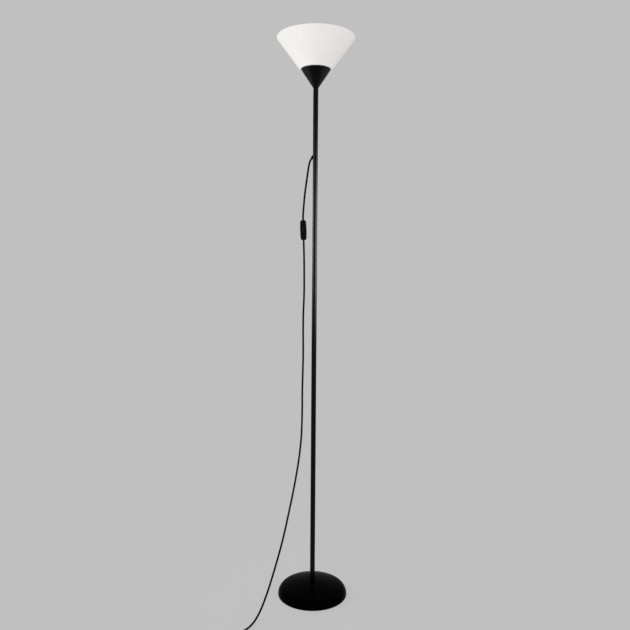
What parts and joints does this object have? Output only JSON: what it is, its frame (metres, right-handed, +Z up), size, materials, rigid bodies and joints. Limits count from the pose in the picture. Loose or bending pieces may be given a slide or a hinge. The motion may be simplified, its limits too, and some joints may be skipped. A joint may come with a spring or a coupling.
{
  "type": "torchiere floor lamp",
  "caption": "Slim uplighter floor lamp: opal cone shade over a black cone cup, jointed tube pole, domed weighted base, and a mains lead with an inline rocker switch.",
  "frame": {"origin": "centre of the base, on the floor", "axes": "+Z up the pole, -Y towards the side that the picture shows, the cord leaves the pole on -X"},
  "size_m": [0.3592, 0.4652, 1.7703],
  "materials": {
    "opal_plastic": "moulded opal white polypropylene, satin",
    "black_satin_plastic": "moulded satin black plastic",
    "black_enamel": "semi-gloss black powder coat on steel tube",
    "black_gloss": "glossy black moulded cover",
    "holder_plastic": "white heat-resistant moulded plastic",
    "holder_ceramic": "unglazed white steatite",
    "brass": "plain brass, pressed or turned",
    "zinc_steel": "bright zinc-plated steel",
    "concrete": "cast concrete",
    "pad_foam": "black closed-cell foam",
    "cord_pvc": "black soft PVC sheath",
    "live_pvc": "brown PVC core insulation",
    "neutral_pvc": "blue PVC core insulation",
    "switch_plastic": "moulded black plastic, fine texture",
    "rocker_plastic": "moulded black plastic, smooth",
    "plug_pvc": "black over-moulded PVC",
    "nickel_brass": "nickel-plated brass",
    "tie_band": "black hook-and-loop band"
  },
  "bodies": {
    "lamp": {"shade": "opal_plastic", "shade_ring": "holder_plastic", "lampholder_skirt": "holder_plastic", "lampholder_cap": "holder_plastic", "lampholder_insert": "holder_ceramic", "screw_shell": "brass", "centre_contact": "brass", "terminal_blocks": "brass", "terminal_screws": "zinc_steel", "cup": "black_satin_plastic", "nipple": "zinc_steel", "nipple_washer": "zinc_steel", "nipple_nut": "zinc_steel", "top_tube": "black_enamel", "upper_tube": "black_enamel", "middle_tube": "black_enamel", "lower_tube": "black_enamel", "tube_inserts": "zinc_steel", "joint_studs": "zinc_steel", "cord_bush": "black_satin_plastic", "inner_cable": "cord_pvc", "live_core": "live_pvc", "neutral_core": "neutral_pvc", "base_cover": "black_gloss", "base_weight": "concrete", "base_pad": "pad_foam", "base_stud": "zinc_steel", "base_washer": "zinc_steel", "base_nut": "zinc_steel", "cord_upper": "cord_pvc", "cord_lower": "cord_pvc", "cord_coil": "cord_pvc", "cord_tail": "cord_pvc", "cord_tie": "tie_band", "switch_front": "switch_plastic", "switch_back": "switch_plastic", "switch_contact_pivot": "brass", "switch_contact_fixed": "brass", "switch_through_link": "brass", "switch_terminal_screws": "zinc_steel", "switch_cores": "live_pvc", "switch_screws": "zinc_steel", "plug_body": "plug_pvc", "plug_pins": "nickel_brass", "pin_sleeves": "plug_pvc"},
    "rocker": {"switch_rocker": "rocker_plastic"},
    "contact_lever": {"switch_contact_lever": "brass"}
  },
  "joints": [
    {"name": "rocker_tilt", "type": "hinge", "parent": "lamp", "child": "rocker", "pos_m": [-0.036, -0.0052, 1.18392], "axis": [0.9994, 0, 0.0349], "range_deg": [0, 20]},
    {"name": "lever_tilt", "type": "hinge", "parent": "lamp", "child": "contact_lever", "pos_m": [-0.036, 0, 1.18392], "axis": [0.9994, 0, 0.0349], "range_deg": [-10, 0]}
  ],
  "couplings": [
    {"joint": "lever_tilt", "follows": "rocker_tilt", "ratio": -0.5}
  ]
}
